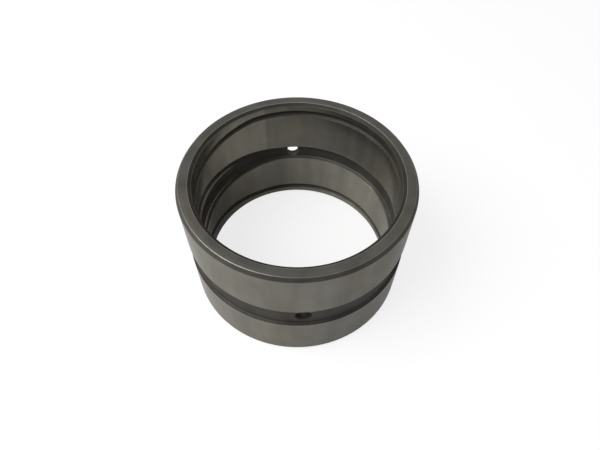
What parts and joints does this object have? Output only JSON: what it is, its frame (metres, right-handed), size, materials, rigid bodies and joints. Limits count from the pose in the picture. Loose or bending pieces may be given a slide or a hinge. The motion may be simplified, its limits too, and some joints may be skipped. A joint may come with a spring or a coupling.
{
  "type": "bushing",
  "caption": "Plain steel pin bushing with chamfered ends, a grease groove outside and in the bore joined by two cross holes, and figure-eight grease grooves in the bore.",
  "frame": {"origin": "centre of the lower end face, on the axis of the bore", "axes": "+Z along the bore axis from the lower end face to the upper one, +Y through a grease hole, +X at right angles to both"},
  "size_m": [0.115, 0.115, 0.072],
  "materials": {
    "ground_steel": "ground walls and end faces, dark turned grooves and chamfers"
  },
  "bodies": {
    "root": {"bushing": "ground_steel"}
  },
  "joints": []
}
